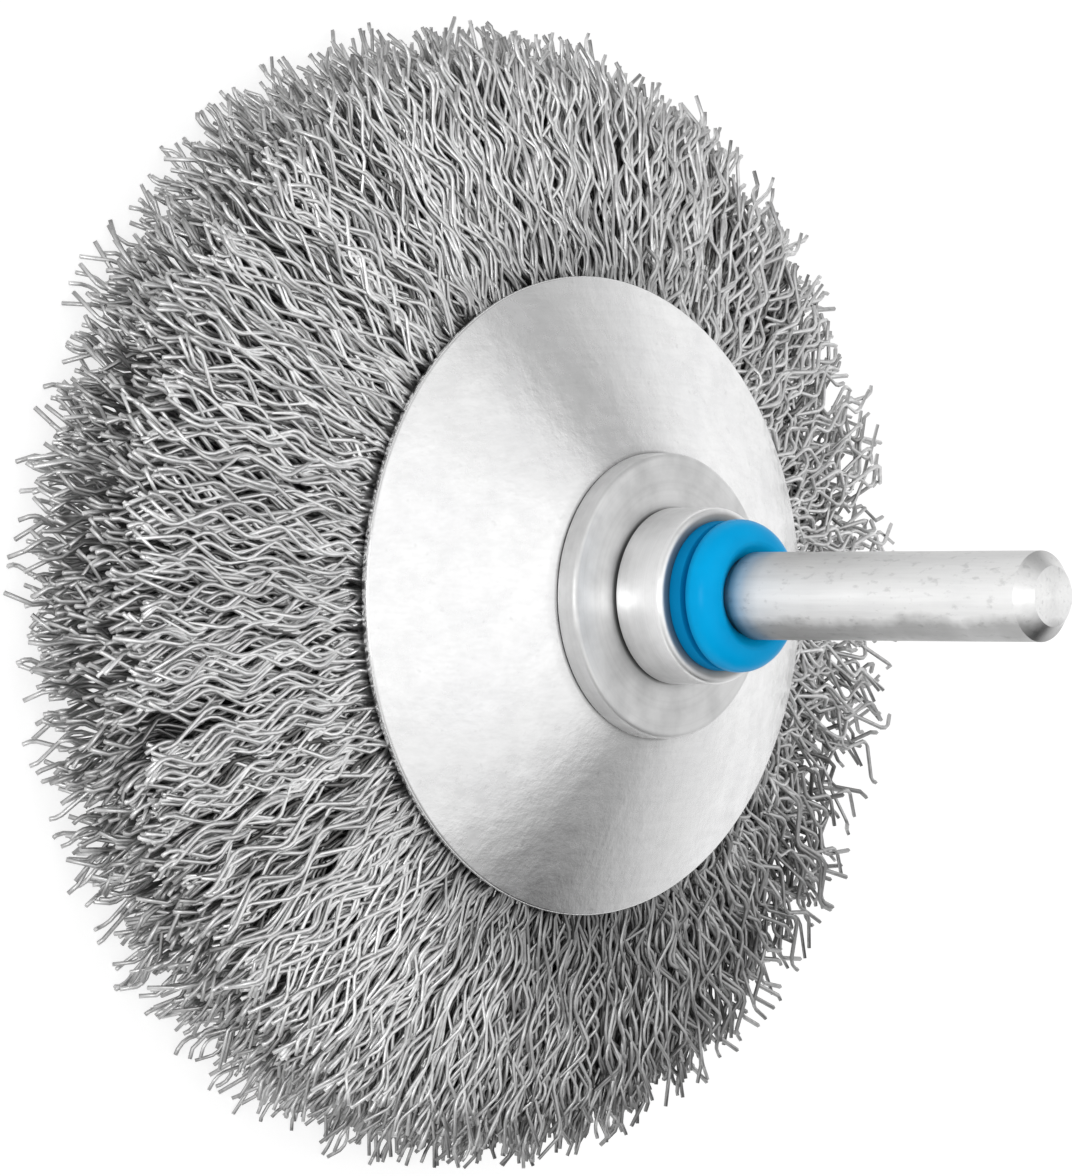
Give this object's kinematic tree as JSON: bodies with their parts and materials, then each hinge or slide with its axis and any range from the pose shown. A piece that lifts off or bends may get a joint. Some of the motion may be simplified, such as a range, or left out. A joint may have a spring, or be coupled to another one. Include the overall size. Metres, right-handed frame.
{
  "type": "conical wire brush",
  "caption": "Conical brush of crimped steel wire between two dished plates, on a round shank with a coloured ring, for a drill or die grinder.",
  "frame": {"origin": "on the brush's axis, at the level of the front edge of the wires on which it stands", "axes": "+Z along the axis from the wires to the free end of the shank"},
  "size_m": [0.0799, 0.0797, 0.0564],
  "materials": {
    "bright_steel": "satin ground steel",
    "turned_steel": "bright turned steel",
    "blue_plastic": "glossy moulded plastic",
    "washer_steel": "zinc plated steel",
    "plate_steel": "bright zinc plated sheet",
    "wire_steel": "drawn steel wire",
    "core_steel": "drawn steel wire"
  },
  "bodies": {
    "root": {"shank": "bright_steel", "collar": "turned_steel", "colour_ring": "blue_plastic", "back_washer": "washer_steel", "back_plate": "plate_steel", "packed_wires": "wire_steel", "crimped_wires": "wire_steel", "core_ring": "core_steel", "front_plate": "plate_steel", "front_washer": "washer_steel"}
  },
  "joints": []
}
